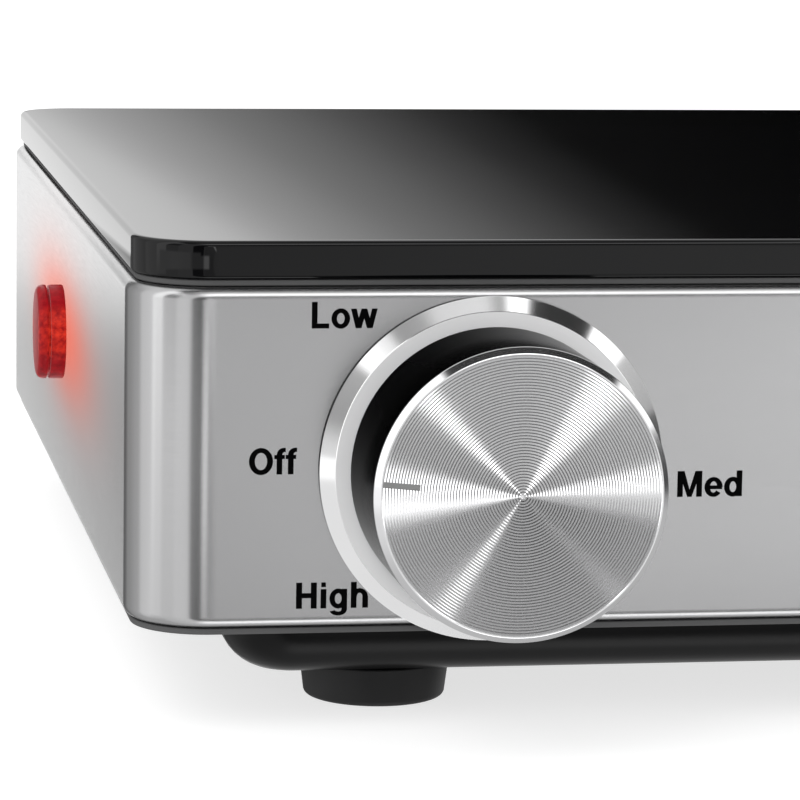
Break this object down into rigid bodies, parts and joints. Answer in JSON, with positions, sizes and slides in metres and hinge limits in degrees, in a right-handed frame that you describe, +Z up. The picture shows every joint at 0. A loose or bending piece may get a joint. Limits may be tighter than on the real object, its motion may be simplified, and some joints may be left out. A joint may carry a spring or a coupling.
{
  "type": "electric hot plate",
  "caption": "Low square electric hot plate with a black glass top, a brushed steel housing, a round turning knob at the front and a red indicator lamp on the side.",
  "frame": {"origin": "on the floor, under the middle of the overall footprint", "axes": "+Z up; the knob faces -Y; the indicator lamp faces -X"},
  "size_m": [0.2446, 0.267, 0.0731],
  "materials": {
    "stainless": "fine horizontal grain, satin",
    "spun_aluminium": "concentric spun grooves, bright",
    "zinc_steel": "bright zinc, satin",
    "spring_steel": "dark, satin",
    "brass": "plain, satin",
    "black_glass": "polished, opaque black glass-ceramic",
    "grey_seal": "matte silicone",
    "black_enamel": "semi-gloss stove enamel",
    "black_rubber": "matte",
    "black_plastic": "fine matt moulding",
    "cream_ceramic": "unglazed steatite",
    "insulation": "pressed mineral fibre",
    "ribbon_alloy": "oxidised resistance alloy",
    "white_nylon": "satin moulding",
    "red_lens": "clear red, polished",
    "clear_glass": "clear, with a warm glow",
    "wire_brown": "satin insulation",
    "wire_blue": "satin insulation",
    "wire_black": "satin insulation",
    "wire_red": "satin insulation",
    "wire_green": "satin insulation"
  },
  "bodies": {
    "housing": {"shell": "stainless", "upper_seal": "grey_seal", "lower_seal": "grey_seal", "glass_top": "black_glass", "base_pan": "black_enamel", "foot_front_left": "black_rubber", "foot_screw_front_left": "zinc_steel", "foot_rear_left": "black_rubber", "foot_screw_rear_left": "zinc_steel", "foot_front_right": "black_rubber", "foot_screw_front_right": "zinc_steel", "foot_rear_right": "black_rubber", "foot_screw_rear_right": "zinc_steel", "pan_screw_front_left": "zinc_steel", "pan_screw_rear_left": "zinc_steel", "pan_screw_front_right": "zinc_steel", "pan_screw_rear_right": "zinc_steel", "heater_dish": "zinc_steel", "heater_base": "insulation", "heater_ring": "insulation", "heater_ribbon": "ribbon_alloy", "limiter_rod": "spring_steel", "limiter_head": "cream_ceramic", "spring_bar": "zinc_steel", "heater_spring_left": "spring_steel", "heater_spring_right": "spring_steel", "bar_screw_left": "zinc_steel", "bar_screw_right": "zinc_steel", "regulator_plate": "zinc_steel", "regulator_case": "black_plastic", "regulator_cover": "black_plastic", "regulator_tab_1": "brass", "regulator_tab_2": "brass", "regulator_tab_3": "brass", "regulator_tab_4": "brass", "regulator_screw_1": "zinc_steel", "regulator_screw_2": "zinc_steel", "indicator_lens": "red_lens", "indicator_body": "black_plastic", "indicator_neon": "clear_glass", "indicator_clip": "spring_steel", "cord_gland": "black_rubber", "terminal_block": "cream_ceramic", "earth_tab": "brass", "earth_screw": "zinc_steel", "block_screw": "zinc_steel", "wire_live": "wire_brown", "wire_neutral": "wire_blue", "wire_switched": "wire_black", "wire_lamp": "wire_red", "wire_earth": "wire_green"},
    "knob": {"knob_cap": "spun_aluminium", "knob_skirt": "spun_aluminium", "knob_core": "black_plastic", "knob_clip": "spring_steel", "regulator_shaft": "zinc_steel", "regulator_cam": "white_nylon"},
    "lever": {"contact_lever": "brass"}
  },
  "joints": [
    {"name": "knob_turn", "type": "hinge", "parent": "housing", "child": "knob", "pos_m": [-0.06517, -0.10952, 0.0398], "axis": [0, 1, 0], "range_deg": [0, 315]},
    {"name": "lever_tilt", "type": "hinge", "parent": "housing", "child": "lever", "pos_m": [-0.05518, -0.09442, 0.0478], "axis": [0, 1, 0], "range_deg": [0, 8]}
  ],
  "couplings": [
    {"joint": "lever_tilt", "follows": "knob_turn", "ratio": 0.025}
  ]
}
